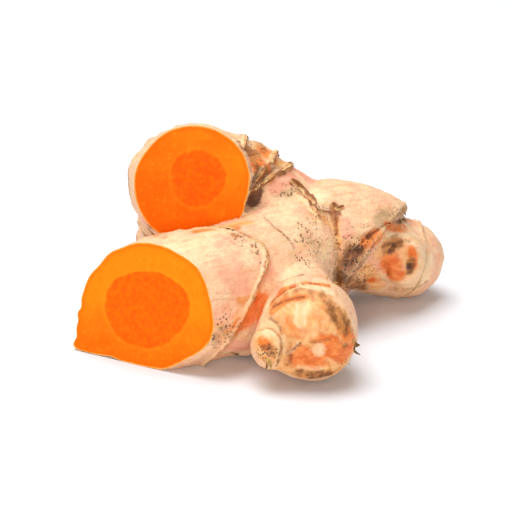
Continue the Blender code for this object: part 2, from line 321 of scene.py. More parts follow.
def grid_faces(rows, columns, first=0):
    """Quads of a grid whose columns close round on themselves."""
    row, column = np.meshgrid(np.arange(rows - 1), np.arange(columns), indexing="ij")
    here, beside = row * columns + column, row * columns + (column + 1) % columns
    return (np.stack([here, beside, beside + columns, here + columns], axis=2) + first).reshape(-1, 4)


def new_piece(name, spots, faces):
    """A mesh object from points in layout millimetres, at the origin of the root's frame."""
    mesh = bpy.data.meshes.new(name)
    mesh.from_pydata((spots - MIDDLE) * MM, [], [list(face) for face in faces])
    piece = bpy.data.objects.new(name, mesh)
    bpy.context.scene.collection.objects.link(piece)
    return piece


def tubes(name, grids):
    """A piece made of closed tubes, one from each grid."""
    faces, first = [], 0
    for grid in grids:
        faces.append(grid_faces(*grid.shape[:2], first))
        first += grid.shape[0] * grid.shape[1]
    return new_piece(name, np.vstack([grid.reshape(-1, 3) for grid in grids]), np.vstack(faces))


def applied(piece):
    """Works a piece's modifiers into its mesh."""
    graph = bpy.context.evaluated_depsgraph_get()
    mesh = bpy.data.meshes.new_from_object(piece.evaluated_get(graph))
    piece.modifiers.clear()
    piece.data = mesh


def spots_of(piece):
    """A piece's corners in layout millimetres."""
    spots = np.empty(len(piece.data.vertices) * 3)
    piece.data.vertices.foreach_get("co", spots)
    return spots.reshape(-1, 3) / MM + MIDDLE


def settled(piece, square, passes):
    """Remeshes a piece into even squares and moves their corners down the field's slope until
    they lie on the root's surface."""
    remesh = piece.modifiers.new("even_squares", "REMESH")
    remesh.mode = "VOXEL"
    remesh.voxel_size = square * MM
    applied(piece)
    spots = spots_of(piece)
    for turn in range(passes):
        out = rhizome_field(spots)
        if turn % 2 == 0:
            slope = slope_of(spots, out)
        spots -= SETTLE * np.clip(out, -1, 1)[:, None] * slope
    piece.data.vertices.foreach_set("co", ((spots - MIDDLE) * MM).ravel())
    piece.data.update()


PATHS = [smooth_path(finger, SPANS) for finger, _ in FINGERS]
grown = [PATHS[0], PATHS[1][UPPER_FROM:], PATHS[2], PATHS[3]] + [np.array(bud) for bud in BUDS]
grids = [tube_grid(path) for path in grown]
for i, cut in [(1, UPPER_CUT)] + [(i, FRONT_CUT) for i in range(len(grids))]:
    past = np.maximum(past_cut(grids[i], cut) - SPARE, 0)
    grids[i] = grids[i] - past[..., None] * cut[1]
skin = tubes("turmeric_skin", grids)
settled(skin, square=0.8, passes=5)


# Creases, the lips of healed scars and the lines where sheaths were rooted: fine grooves in the
# skin. Each lies where the photograph shows it, as a line through its pixels, cast onto the root.
CRACKS = (
    ((265, 217), (275, 227), (290, 240), (295, 247)),
    ((291, 183), (300, 190), (312, 204), (321, 212), (331, 213)),
    ((335, 204), (335, 214)), ((344, 208), (334, 212)), ((336, 218), (337, 254)),
    ((278, 152), (266, 168)), ((288, 164), (271, 170)), ((273, 170), (258, 181), (252, 202)),
    ((267, 308), (277, 296), (292, 287), (307, 283), (328, 285)),
    ((272, 308), (287, 300), (304, 297)),
    ((270, 319), (277, 324), (281, 333), (282, 347), (278, 362)),
    ((301, 342), (291, 352), (290, 364)), ((312, 342), (330, 340)),
    ((402, 220), (390, 222), (369, 236), (347, 257), (333, 275)),
    ((232, 353), (246, 356)), ((362, 246), (365, 284)),
    ((384, 240), (396, 236), (410, 241)), ((386, 262), (388, 276)),
)
# A groove's depth and half width.
GROOVE = (0.30, 0.45)
PHOTO = 512


def sight(pixel):
    """The way from the camera to where a pixel of the photograph lies in a plane through AIM."""
    across, above = (pixel[0] / PHOTO - 0.5) * PICTURE_WIDTH, (0.5 - pixel[1] / PHOTO) * PICTURE_WIDTH
    up = Vector((0, math.sin(LOOK_DOWN), math.cos(LOOK_DOWN)))
    return AIM + Vector((1, 0, 0)) * across + up * above - camera.location


def seen_at(pixel, tree):
    """The place on the skin, in layout millimetres, that a pixel of the photograph shows."""
    aim = sight(pixel)
    hit = tree.ray_cast(camera.location, aim.normalized())[0]
    hit = hit or tree.find_nearest(camera.location + aim)[0]
    return np.array(hit) / MM + MIDDLE


def stroke_gap(spots, start, end):
    """Distance from a straight stroke between two places."""
    run = end - start
    share = np.clip((spots - start) @ run / max(run @ run, 1e-6), 0, 1)
    return np.linalg.norm(spots - start - share[:, None] * run, axis=1)


tree = bvh.BVHTree.FromObject(skin, bpy.context.evaluated_depsgraph_get())
GROOVES = [
    (seen_at(start, tree), seen_at(end, tree))
    for line in CRACKS for start, end in zip(line, line[1:])
]
grown_field = rhizome_field


def groove_gap(spots):
    """Distance from the nearest groove."""
    return np.min([stroke_gap(spots, start, end) for start, end in GROOVES], axis=0)


def rhizome_field(spots):
    """The grown root with its grooves pressed in."""
    return grown_field(spots) + GROOVE[0] * np.exp(-((groove_gap(spots) / GROOVE[1]) ** 2))


settled(skin, square=0.43, passes=3)


# The two knife cuts that took fingers off, and the flats that its weight has pressed underneath.
# A cut is trimmed clean by a plate whose outline stays clear of the finger beside it, and its
# open rim is left for the sliced face to fill.
PLATE = 0.9
CLEAR = 0.6
INSIDE = 0.05
MELTED = 0.5
STATIONS = np.arange(4.0, 30.0, 0.1)
TURNS = np.linspace(0, 2 * np.pi, 180, endpoint=False)
FRONT_MIDDLE, UPPER_MIDDLE = (-22.0, -14.0, 14.0), (-12.7, 3.0, 34.1)
TABLE = 60.0
ON_THE_CUT, BY_THE_CUT = 0.02, 0.1
WIDEST = 24.0
RIM_STEP = 0.12
FRONT_PASSES, UPPER_PASSES = 10, 50


def plane_axes(cut):
    """A cut's own right and up, and its facing, as unit vectors."""
    facing = np.array(cut[1]) / np.linalg.norm(cut[1])
    right = np.cross((0, 0, 1), facing)
    right /= np.linalg.norm(right)
    return right, np.cross(facing, right), facing


def cut_plate(middle, cut, own):
    """The plate as a grid of two parameters, depth and the angle round the middle. Its reach is
    the finger's own outline plus CLEAR, but only just inside it where another finger melts in.
    With no finger of its own to keep to, it follows the whole root's outline."""
    right, over, facing = plane_axes(cut)
    middle = middle - ((middle - np.array(cut[0])) @ facing) * facing
    rays = np.cos(TURNS)[:, None] * right + np.sin(TURNS)[:, None] * over
    spots = middle + STATIONS[None, :, None] * rays[:, None]
    flat = spots.reshape(-1, 3)
    whole = rhizome_field(flat)
    leave = [
        STATIONS[np.argmax(field.reshape(spots.shape[:2]) > 0, axis=1)]
        for field in (whole if own is None else finger_fields(flat)[own], whole)
    ]
    free = np.clip(1 - (leave[1] - leave[0]) / MELTED, 0, 1)
    reach = leave[0] - INSIDE + CLEAR * free
    return middle + reach[None, :, None] * rays[None] + np.array((0, PLATE))[:, None, None] * facing


def trimmed(piece, cutter):
    """Takes a cutter's space away from a piece and removes the cutter."""
    cut = piece.modifiers.new("trim", "BOOLEAN")
    cut.operation, cut.solver, cut.object = "DIFFERENCE", "MANIFOLD", cutter
    applied(piece)
    bpy.data.objects.remove(cutter)


def opened(piece, cut, passes):
    """Deletes the flat face that a plate left, and closes small tears beside it. It then evens the
    rim, in passes that move each corner towards the middle of its neighbours, moves the corners
    beside the rim half as far, and returns the rim in order."""
    point, facing = Vector((cut[0] - MIDDLE) * MM), Vector(plane_axes(cut)[2])
    work = bmesh.new()
    work.from_mesh(piece.data)
    flat = [
        face for face in work.faces
        if all(abs((corner.co - point).dot(facing)) < ON_THE_CUT * MM for corner in face.verts)
        and (face.calc_center_median() - point).length < WIDEST * MM
    ]
    bmesh.ops.delete(work, geom=flat, context="FACES")
    edge_on = [corner for corner in work.verts if corner.is_boundary]
    bmesh.ops.remove_doubles(work, verts=edge_on, dist=RIM_STEP * MM)
    open_edges = {edge for edge in work.edges if edge.is_boundary}
    rims = []
    while open_edges:
        edge = open_edges.pop()
        rim = [edge.verts[0], edge.verts[1]]
        while edge := next((e for e in rim[-1].link_edges if e in open_edges), None):
            open_edges.remove(edge)
            rim.append(edge.other_vert(rim[-1]))
        if abs((rim[0].co - point).dot(facing)) < BY_THE_CUT * MM:
            rims.append(rim[:-1])
    rims.sort(key=len)
    rim = rims.pop()
    for tear in rims:
        bmesh.ops.contextual_create(work, geom=tear)
    places = np.array([tuple(corner.co) for corner in rim])
    even = places.copy()
    for _ in range(passes):
        even = (np.roll(even, 1, axis=0) + 2 * even + np.roll(even, -1, axis=0)) / 4
    own = set(rim)
    shifts = {}
    for corner, shift in zip(rim, even - places):
        corner.co += Vector(shift)
        for edge in corner.link_edges:
            if edge.other_vert(corner) not in own:
                shifts.setdefault(edge.other_vert(corner), []).append(shift)
    for corner, near in shifts.items():
        corner.co += 0.5 * Vector(np.mean(near, axis=0))
    work.to_mesh(piece.data)
    work.free()
    return even / MM + MIDDLE


for middle, cut, own in ((FRONT_MIDDLE, FRONT_CUT, None), (UPPER_MIDDLE, UPPER_CUT, 1)):
    grid = cut_plate(middle, cut, own)
    near_end, far_end = np.arange(2 * grid.shape[1]).reshape(2, -1)
    faces = [*grid_faces(*grid.shape[:2]), near_end[::-1], far_end]
    trimmed(skin, new_piece("cut_plate", grid.reshape(-1, 3), faces))
bpy.ops.mesh.primitive_cube_add(size=2 * TABLE * MM, location=(0, 0, -TABLE * MM))
trimmed(skin, bpy.context.object)
front_rim = opened(skin, FRONT_CUT, FRONT_PASSES)
upper_rim = opened(skin, UPPER_CUT, UPPER_PASSES)
skin.data.shade_smooth()
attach(skin, "root")
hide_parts("turmeric_rhizome")


# The finish of the skin: thin peach cork, rubbed pink and orange where it is thin, tan and brown
# along its rings, with dark specks. Painted shade darkens its creases, hollows and undersides, and
# each ring has a painted shadow beside its ridge and a painted highlight on its lip. Marks lie where
# the photograph shows them, as strokes from one pixel x, y to another, with a reach in millimetres
# and a strength, cast onto the skin.
MARKS = {}
MARKS["pink"] = (
    (206, 290, 222, 320, 5, 0.6), (226, 262, 240, 285, 4, 0.6), (268, 262, 276, 290, 2.6, 0.9),
    (294, 168, 309, 180, 1.7, 1), (345, 222, 347, 234, 1.4, 0.9), (275, 187, 292, 176, 1.8, 0.9),
    (412, 222, 424, 244, 2.6, 0.9), (232, 345, 246, 347, 1.7, 1), (222, 245, 255, 228, 2, 0.6),
    (255, 212, 268, 204, 1.8, 0.6), (284, 357, 288, 364, 1.2, 0.5), (372, 250, 378, 268, 2.2, 0.6),
    (330, 230, 352, 262, 2, 0.5), (300, 330, 310, 338, 1.3, 0.8), (430, 240, 432, 280, 2.6, 0.7),
    (160, 216, 146, 222, 2, 0.7),
)
MARKS["ochre"] = (
    (272, 306, 300, 292, 2, 0.9), (262, 330, 272, 350, 2.6, 0.6), (300, 312, 318, 352, 8, 0.78),
    (290, 366, 340, 366, 3, 0.9), (318, 300, 344, 330, 3.5, 0.8), (262, 345, 276, 352, 3, 0.9),
    (262, 150, 284, 164, 2.6, 0.9), (366, 270, 376, 286, 2.4, 0.8), (384, 250, 408, 262, 3.4, 0.7),
    (196, 230, 248, 222, 1.6, 0.8), (316, 214, 334, 224, 1.6, 0.6), (336, 222, 338, 244, 1.1, 0.9),
    (218, 330, 232, 340, 2.2, 0.6), (240, 300, 262, 296, 1, 0.8),
)
MARKS["orange"] = (
    (260, 302, 242, 324, 2.6, 1), (254, 160, 266, 172, 2.4, 1), (264, 152, 275, 156, 1.9, 1),
    (388, 226, 404, 228, 1.2, 1), (366, 243, 378, 236, 1.8, 0.9), (390, 262, 395, 274, 2.4, 1),
    (298, 356, 316, 360, 2.5, 1), (332, 348, 346, 354, 2.4, 1), (322, 340, 334, 342, 1.6, 0.9),
    (272, 304, 284, 291, 1.1, 1), (284, 291, 306, 284, 0.9, 1), (306, 284, 328, 286, 0.8, 0.9),
    (272, 311, 287, 301, 1, 1), (287, 301, 306, 297, 0.8, 0.9), (344, 330, 352, 346, 2, 0.8),
    (196, 232, 236, 227, 1.2, 0.8), (370, 280, 372, 281, 1, 0.9), (412, 250, 413, 264, 1.2, 0.8),
    (290, 320, 296, 332, 1.6, 0.6), (262, 340, 266, 346, 1.2, 0.9),
)
# Brown strokes: mostly the skin's dry brown, but partly painted shade, in the crevice beside the upper cut,
# in the wedge below the lobe's sheath, on the arm's underside behind the front cut, and on the undersides
# of the knob and the lobe.
MARKS["brown"] = (
    (250, 140, 252, 154, 2.2, 1), (258, 142, 262, 150, 1.5, 0.6), (254, 160, 258, 176, 1, 0.7),
    (300, 290, 330, 306, 1.4, 0.5), (322, 296, 350, 330, 1.6, 0.6), (290, 344, 286, 364, 0.7, 0.5),
    (266, 176, 284, 171, 1, 0.9), (334, 312, 346, 326, 2.2, 0.8), (386, 248, 398, 241, 1.6, 0.9),
    (411, 262, 410, 270, 1.2, 1), (335, 208, 335, 216, 1.3, 1), (335, 218, 336, 236, 0.7, 0.9),
    (345, 345, 346, 346, 0.8, 0.7), (266, 348, 274, 352, 1.2, 0.7), (353, 260, 348, 280, 4.6, 0.7),
    (336, 274, 360, 288, 2, 0.9), (233, 235, 242, 236, 0.6, 0.8), (291, 183, 312, 203, 0.5, 0.9),
    (150, 228, 162, 236, 1.8, 0.6), (300, 373, 330, 373, 1.5, 0.8), (215, 346, 224, 332, 1.6, 0.4),
    (392, 288, 424, 284, 1.6, 0.5),
)
# Dark strokes: the scar's arcs and dark specks on the lobe are the skin's own colour; the rest is painted
# shade, in the crevice beside the upper cut, in the wedge below the lobe's sheath, under the sheath's edge
# and along the undersides next to the table.
MARKS["dark"] = (
    (262, 172, 257, 184, 1.6, 1), (257, 184, 252, 202, 1.9, 1), (346, 260, 358, 252, 1.6, 0.7),
    (338, 276, 350, 282, 1.5, 0.9), (368, 237, 400, 221, 0.7, 0.9), (362, 248, 364, 282, 0.6, 0.7),
    (236, 354, 246, 356, 0.6, 0.9), (246, 134, 244, 150, 0.5, 0.8), (390, 252, 394, 246, 0.8, 0.7),
    (409, 265, 410, 271, 0.7, 0.7), (310, 378, 330, 374, 0.8, 0.6),
)
MARKS["speckled"] = (
    (302, 228, 303, 264, 1.9, 1), (284, 194, 300, 191, 2, 0.9), (356, 254, 350, 286, 5.6, 1),
    (238, 240, 254, 246, 1.6, 0.8), (214, 342, 224, 326, 2.8, 0.9), (262, 352, 272, 350, 1.8, 0.9),
    (392, 215, 400, 212, 1.6, 0.7), (318, 208, 312, 250, 2.2, 0.7), (256, 250, 262, 262, 1, 0.8),
    (254, 146, 262, 148, 1.6, 0.8),
)
MARKS["cream"] = (
    (316, 192, 324, 196, 2, 1), (168, 248, 192, 246, 1.7, 0.8), (302, 308, 300, 322, 1.5, 0.8),
    (318, 349, 320, 351, 1.35, 1), (264, 326, 270, 330, 2, 0.9), (284, 272, 300, 268, 3, 0.6),
    (300, 286, 330, 292, 1.1, 0.9), (388, 235, 409, 235, 0.8, 0.9), (283, 336, 285, 352, 0.8, 0.8),
    (290, 352, 298, 343, 0.5, 0.8), (276, 212, 292, 224, 3.2, 0.5), (300, 367, 320, 369, 0.9, 0.7),
    (418, 236, 424, 276, 4.5, 0.8), (330, 246, 322, 268, 1.6, 0.5), (264, 270, 262, 290, 0.7, 0.9),
    (256, 296, 232, 322, 0.6, 0.8),
)
# These strokes are painted shade, greyed: in hollows of the body, beside the upper finger, in the wedge
# below the lobe's sheath and along the sheath's edge.
MARKS["grey_shade"] = (
    (380, 221, 402, 214, 2.2, 0.9), (350, 250, 338, 268, 1.2, 0.7), (246, 216, 262, 206, 1.8, 0.6),
    (308, 240, 330, 262, 3, 0.4), (364, 238, 378, 229, 1.2, 0.7), (215, 338, 226, 330, 2, 0.5),
    (285, 194, 300, 190, 1.2, 0.6),
)


def marks(spots, strokes, tree):
    """How strongly each spot is marked: 1 within a stroke's reach, fading to 0 a little past it."""
    made = np.zeros(len(spots))
    for *ends, reach, strength in strokes:
        gap = stroke_gap(spots, seen_at(ends[:2], tree), seen_at(ends[2:], tree))
        made = np.maximum(made, strength * np.clip(1.5 - gap / reach, 0, 1))
    return made


def keep(piece, name, values):
    """Stores one number for each corner of a piece, for its material to read."""
    piece.data.attributes.new(name, "FLOAT", "POINT").data.foreach_set("value", values)


def node(tree, kind, inputs=(), **settings):
    """Adds a shader node: settings are its own properties, inputs are its sockets' values or links."""
    made = tree.nodes.new("ShaderNode" + kind)
    for name, value in settings.items():
        setattr(made, name, value)
    for name, value in dict(inputs).items():
        if isinstance(value, bpy.types.NodeSocket):
            tree.links.new(value, made.inputs[name])
        else:
            made.inputs[name].default_value = value
    return made


def reckon(operation, *numbers):
    """The outcome of a Math node, in the tree that the first number is linked from."""
    return node(numbers[0].id_data, "Math", enumerate(numbers), operation=operation).outputs[0]


def rise(value, low, high):
    """0 below low, 1 above high, and a smooth step between."""
    inputs = {"Value": value, "From Min": low, "From Max": high}
    return node(value.id_data, "MapRange", inputs, interpolation_type="SMOOTHSTEP").outputs[0]


def times(value, by):
    """A value multiplied by another."""
    return reckon("MULTIPLY", value, by)


def mixed(share, under, over):
    """One colour over another."""
    return node(share.id_data, "Mix", {0: share, 6: under, 7: over}, data_type="RGBA").outputs[2]


def colour(red, green, blue):
    """A colour read off a screen, from 0 to 255, as the light that a shader wants."""
    return tuple(((part / 255 + 0.055) / 1.055) ** 2.4 for part in (red, green, blue)) + (1,)


def attribute(tree, name, output="Fac"):
    """A piece's stored number, or another output of it."""
    return node(tree, "Attribute", attribute_name=name).outputs[output]


def laid(shade, mask, strength, red, green, blue):
    """A shade with a colour laid over it, as far as a mask times a strength says."""
    return mixed(times(mask, strength), shade, colour(red, green, blue))


def swayed(value, sway, amount):
    """A value moved up and down by an amount of a noise's distance from its middle."""
    sway = times(reckon("SUBTRACT", sway, 0.5), amount)
    return reckon("ADD", value, sway)


def painted(shader, shade, height, strength, depth):
    """Gives a shader its colour, and bumps from a height, a strength and a depth in millimetres."""
    tree = shader.id_data
    bump = node(tree, "Bump", {"Height": height, "Strength": strength, "Distance": depth * MM})
    tree.links.new(shade, shader.inputs["Base Color"])
    tree.links.new(bump.outputs[0], shader.inputs["Normal"])


def in_millimetres(tree):
    """The place on the object in millimetres."""
    where = node(tree, "TexCoord").outputs["Object"]
    return node(tree, "Mapping", {"Vector": where, "Scale": (1 / MM,) * 3}).outputs[0]


def noise(where, size, detail=2.0, roughness=0.5):
    """Soft noise from 0 to 1 whose features are about size across."""
    inputs = {"Vector": where, "Scale": 1 / size, "Detail": detail, "Roughness": roughness}
    return node(where.id_data, "TexNoise", inputs).outputs["Fac"]


def new_group(name, inputs, outputs):
    """An empty node group with float or colour sockets, its input node and its output node."""
    group = bpy.data.node_groups.new(name, "ShaderNodeTree")
    for side, sockets in (("INPUT", inputs), ("OUTPUT", outputs)):
        for socket, kind in sockets.items():
            group.interface.new_socket(socket, in_out=side, socket_type="NodeSocket" + kind)
    return group, group.nodes.new("NodeGroupInput"), group.nodes.new("NodeGroupOutput")


def use(tree, group, inputs):
    """Places a node group and returns its outputs by name."""
    return node(tree, "Group", inputs, node_tree=group).outputs


# How far red, green and blue light spread in the flesh, as shares of a depth.
GLOW = (1.0, 0.35, 0.15)
GLOW_DEPTH = 1.2


def new_material(name, rough, specular, subsurface=0.0):
    """A material, its node tree and its shader."""
    material = bpy.data.materials.new(name)
    material.use_nodes = True
    shader = material.node_tree.nodes["Principled BSDF"]
    shader.inputs["Roughness"].default_value = rough
    shader.inputs["Specular IOR Level"].default_value = specular
    shader.inputs["Subsurface Weight"].default_value = subsurface
    shader.inputs["Subsurface Radius"].default_value = GLOW
    shader.inputs["Subsurface Scale"].default_value = GLOW_DEPTH * MM
    return material, material.node_tree, shader


worn, given, taken = new_group(
    "worn_edge", {"Mask": "Float", "Size": "Float", "Raggedness": "Float"}, {"Mask": "Float"}
)
fine = node(worn, "TexNoise", {
    "Vector": in_millimetres(worn), "Scale": given.outputs["Size"], "Detail": 3.0, "Roughness": 0.55,
}).outputs["Fac"]
ragged = swayed(given.outputs["Mask"], fine, given.outputs["Raggedness"])
worn.links.new(rise(ragged, 0.22, 0.88), taken.inputs["Mask"])

specks, given, taken = new_group("specks", {"Mask": "Float"}, {"Specks": "Float"})
where = in_millimetres(specks)
cells = node(specks, "TexVoronoi", {"Vector": where, "Scale": 1.5, "Randomness": 1.0})
core = rise(cells.outputs["Distance"], 0.46, 0.24)
picked = rise(noise(where, 1.5, 3.0), 0.41, 0.51)
room = times(given.outputs["Mask"], picked)
specks.links.new(times(core, room), taken.inputs["Specks"])

spots = spots_of(skin)
tree = bvh.BVHTree.FromObject(skin, bpy.context.evaluated_depsgraph_get())
for name, strokes in MARKS.items():
    keep(skin, name, marks(spots, strokes, tree))

# Each spot's nearest ring, and the grain of its fibres, whose pattern is drawn out along the finger.
CLOSE = 3.0
SHARED = 0.8
DRAWN_OUT = 0.85
keep(skin, "crease_and_shade", np.minimum(groove_gap(spots), CLOSE))
ring_gap, ring_strength, best = np.full(len(spots), CLOSE), np.zeros(len(spots)), np.zeros(len(spots))
grain = np.zeros((len(spots), 3))
own = finger_fields(spots)[:len(FINGERS)]
shares = np.exp(-(own - own.min(axis=0)) / SHARED)
shares /= shares.sum(axis=0)
for share, path, (_, rings) in zip(shares, PATHS, FINGERS):
    heading = np.gradient(path[:, :3], axis=0).mean(axis=0)
    heading /= np.linalg.norm(heading)
    run = (spots - path[0, :3]) @ heading
    grain += share[:, None] * (spots - DRAWN_OUT * run[:, None] * heading)
    for planes, middle, reach, _, _, dark in rings:
        past = past_planes(spots, planes)
        near = near_ring(spots, middle, reach) * share
        score = near * np.exp(-((past / 2) ** 2))
        won = score > best
        best[won], ring_gap[won], ring_strength[won] = score[won], past[won], dark * near[won]
keep(skin, "ring_gap", np.clip(ring_gap, -CLOSE, CLOSE))
keep(skin, "ring_strength", ring_strength)
skin.data.attributes.new("grain", "FLOAT_VECTOR", "POINT").data.foreach_set("vector", grain.ravel())

skin_finish, nodes, shader = new_material("turmeric_skin", 0.5, 0.35, 0.12)
where = in_millimetres(nodes)
along_grain = attribute(nodes, "grain", "Vector")
broad, blotch = noise(where, 9.0, 2.0), noise(where, 3.2, 3.0, 0.6)
fine, streak = noise(where, 0.8, 4.0, 0.65), noise(along_grain, 0.9, 3.0, 0.6)
tiny, stain = noise(where, 0.33, 3.0, 0.7), noise(along_grain, 1.5, 4.0, 0.6)
shade = mixed(rise(broad, 0.35, 0.65), colour(249, 198, 155), colour(251, 206, 160))
for share, low, high, strength, tint in (
    (blotch, 0.50, 0.66, 0.65, (246, 178, 142)),
    (blotch, 0.47, 0.32, 0.55, (254, 224, 178)),
    (streak, 0.50, 0.66, 0.50, (224, 158, 112)),
    (tiny, 0.50, 0.66, 0.38, (255, 230, 190)),
    (tiny, 0.48, 0.34, 0.60, (224, 146, 106)),
):
    shade = laid(shade, rise(share, low, high), strength, *tint)
wash = rise(noise(along_grain, 5.0, 4.0, 0.6), 0.52, 0.70)
shade = laid(shade, wash, 0.55, 238, 178, 116)
# Some of these strokes lay painted shade in hollows and undersides, as well as the skin's own colour.
for name, tint, deep, strength, size, ragged in (
    ("pink", (247, 178, 146), (240, 152, 120), 0.80, 0.7, 0.8),
    ("ochre", (249, 190, 120), (230, 142, 66), 0.88, 0.6, 1.0),
    ("grey_shade", (200, 168, 124), (160, 124, 84), 0.75, 0.9, 1.2),
    ("orange", (250, 144, 62), (224, 100, 22), 0.92, 0.6, 0.6),
    ("cream", (255, 232, 190), (250, 212, 158), 0.55, 0.8, 1.1),
    ("brown", (206, 134, 70), (122, 66, 26), 0.92, 0.8, 1.1),
    ("dark", (112, 58, 24), (60, 30, 14), 0.94, 0.9, 1.0),
):
    mask = use(nodes, worn, {"Mask": attribute(nodes, name), "Size": size, "Raggedness": ragged})["Mask"]
    tone = mixed(rise(stain, 0.34, 0.66), colour(*tint), colour(*deep))
    shade = mixed(times(mask, strength), shade, tone)

# The ring's brown line is partly the dry edge's colour and partly a painted shadow beside its ridge; the
# pale lip is partly the ridge's cream and partly a painted highlight on its raised side.
gap = swayed(attribute(nodes, "ring_gap"), blotch, 1.6)
breaks = rise(noise(where, 1.6, 3.0, 0.6), 0.36, 0.58)
line = times(rise(reckon("ABSOLUTE", gap), 0.42, 0.08), breaks)
strong = attribute(nodes, "ring_strength")
line = times(line, strong)
halo = times(times(rise(reckon("ABSOLUTE", gap), 2.0, 0.3), fine), strong)
lip_and_highlight = times(rise(reckon("ABSOLUTE", reckon("ADD", gap, 0.55)), 0.45, 0.10), strong)
# The grooves are darkened to orange-brown: partly the creases' own colour, partly painted shade in their
# hollows.
crease_and_shade = swayed(attribute(nodes, "crease_and_shade"), fine, 0.5)
crease_and_shade = times(rise(crease_and_shade, 0.50, 0.12), rise(stain, 0.34, 0.52))
dots = use(nodes, specks, {"Mask": attribute(nodes, "speckled")})["Specks"]
few = use(nodes, specks, {"Mask": times(rise(broad, 0.52, 0.75), 0.5)})["Specks"]
for mask, strength, tint in (
    (halo, 0.9, (216, 150, 88)), (line, 0.75, (150, 88, 42)), (lip_and_highlight, 0.45, (255, 228, 178)),
    (crease_and_shade, 0.8, (138, 66, 22)), (dots, 0.9, (70, 46, 24)), (few, 0.6, (170, 112, 66)),
):
    shade = laid(shade, mask, strength, *tint)

height = times(streak, 0.5)
for part, share in ((fine, 0.6), (line, 0.6), (crease_and_shade, -0.8), (dots, -0.4)):
    height = reckon("ADD", height, times(part, share))
painted(shader, shade, height, 0.7, 0.25)
matt = reckon("ADD", times(fine, 0.25), 0.40)
nodes.links.new(matt, shader.inputs["Roughness"])
skin.data.materials.clear()
skin.data.materials.append(skin_finish)


# The sliced faces: bare living flesh, deep orange, with a redder core where the vessels run,
# ringed by a thin pale line, and a thread of yellow skin round the rim. Cut flat by a knife.
# A core's middle, half width and half height in the photograph's pixels, and its tilt in radians.
FRONT_CORE = ((146, 309), 50.0, 38.0, 0.35)
UPPER_CORE = ((198, 178), 27.0, 28.0, 0.0)
# Its outline is an ellipse with waves, as how many there are, where they start and their height.
WAVES = ((3, 1, 0.03), (5, 2, 0.015), (9, 0, 0.008))
# How deep the orange is in the middle, and how much deeper at the bottom and at the left, which is painted
# shade.
THICK = 13
FRONT_DEEP, UPPER_DEEP = (0.0, 0.75, 0.0), (0.6, 0.3, 0.3)
SLICE_RINGS = 44


def slice_grid(rim, cut):
    """A flat face as a grid of two parameters, the share of the way out to the rim and the
    rim's own corners, in order of the angle round the middle."""
    right, over, _ = plane_axes(cut)
    middle = rim.mean(axis=0)
    turn = np.unwrap(np.arctan2((rim - middle) @ over, (rim - middle) @ right))
    if turn[-1] < turn[0]:
        rim, turn = rim[::-1], turn[::-1]
    steady = np.maximum.accumulate(turn) + np.linspace(0, 1e-3, len(turn))
    breadth = np.linalg.norm(rim - middle, axis=1)
    around = middle + breadth[:, None] * (np.cos(steady)[:, None] * right + np.sin(steady)[:, None] * over)
    share = np.linspace(0, 1, SLICE_RINGS)[1:, None, None]
    spots = middle + share * (around - middle)[None]
    spots[-1] = rim
    rows, columns = spots.shape[:2]
    faces = [tuple(quad) for quad in grid_faces(rows, columns)[:, ::-1]]
    hub = rows * columns
    faces += [(hub, i, (i + 1) % columns) for i in range(columns)]
    spots = np.vstack([spots.reshape(-1, 3), middle])
    reach = np.append(np.repeat(share.ravel(), columns), 0.0)
    return spots, faces, (1 - reach) * np.append(np.tile(breadth, rows), breadth.mean()), right, over


def sliced_face(name, rim, cut, core, deep):
    """A slice with its distance from the rim and from the core's outline kept for its material,
    and how deep its orange is, which grows downwards and to the left as painted shade."""
    spots, faces, from_rim, right, over = slice_grid(rim, cut)
    pixel, wide, tall, tilt = core
    point, facing = Vector((cut[0] - MIDDLE) * MM), Vector(plane_axes(cut)[2])
    aim = sight(pixel)
    reach = (point - camera.location).dot(facing) / aim.dot(facing)
    middle = np.array(camera.location + aim * reach) / MM + MIDDLE
    a, b = (spots - middle) @ right, (spots - middle) @ over
    a, b = a * math.cos(tilt) + b * math.sin(tilt), b * math.cos(tilt) - a * math.sin(tilt)
    turn = np.arctan2(b, a)
    size = PICTURE_WIDTH / PHOTO / MM
    outline = 1 + sum(height * np.sin(count * turn + first) for count, first, height in WAVES)
    gap = (np.hypot(a / (wide * size), b / (tall * size)) - outline) * (wide + tall) / 2 * size
    piece = new_piece(name, spots, faces)
    piece.data.shade_smooth()
    keep(piece, "from_rim", from_rim)
    keep(piece, "from_core", gap)
    middle = rim.mean(axis=0)
    down, left = -(spots - middle) @ over / THICK, -(spots - middle) @ right / THICK
    keep(piece, "deep", deep[0] + deep[1] * np.clip(down, -0.4, 1) + deep[2] * left)
    return piece


flesh_finish, nodes, shader = new_material("turmeric_flesh", 0.55, 0.05, 0.2)
where = in_millimetres(nodes)
broad, cells = noise(where, 4.5, 2.0), noise(where, 1.0, 4.0, 0.65)
fine = noise(where, 0.30, 3.0)
from_core = swayed(attribute(nodes, "from_core"), cells, 0.45)
# Painted shade: the orange darkens and deepens towards the bottom of each slice and the left of the upper
# one.
deep = swayed(attribute(nodes, "deep"), broad, 0.8)
shade = mixed(rise(deep, 0.0, 1.0), colour(255, 141, 12), colour(255, 106, 0))
shade = laid(shade, rise(cells, 0.54, 0.70), 0.45, 255, 160, 30)
shade = laid(shade, rise(cells, 0.46, 0.34), 0.30, 250, 108, 0)
pale = rise(reckon("ABSOLUTE", reckon("SUBTRACT", from_core, 0.45)), 0.5, 0.1)
shade = laid(shade, pale, 0.16, 255, 158, 34)
inside = rise(from_core, 0.30, -0.30)
core = mixed(rise(cells, 0.36, 0.62), colour(249, 94, 0), colour(255, 112, 0))
shade = mixed(inside, shade, core)
vessels = node(nodes, "TexVoronoi", {"Vector": where, "Scale": 0.8}).outputs["Distance"]
shade = laid(shade, rise(vessels, 0.24, 0.08), 0.30, 255, 150, 36)
rim = swayed(attribute(nodes, "from_rim"), cells, 0.5)
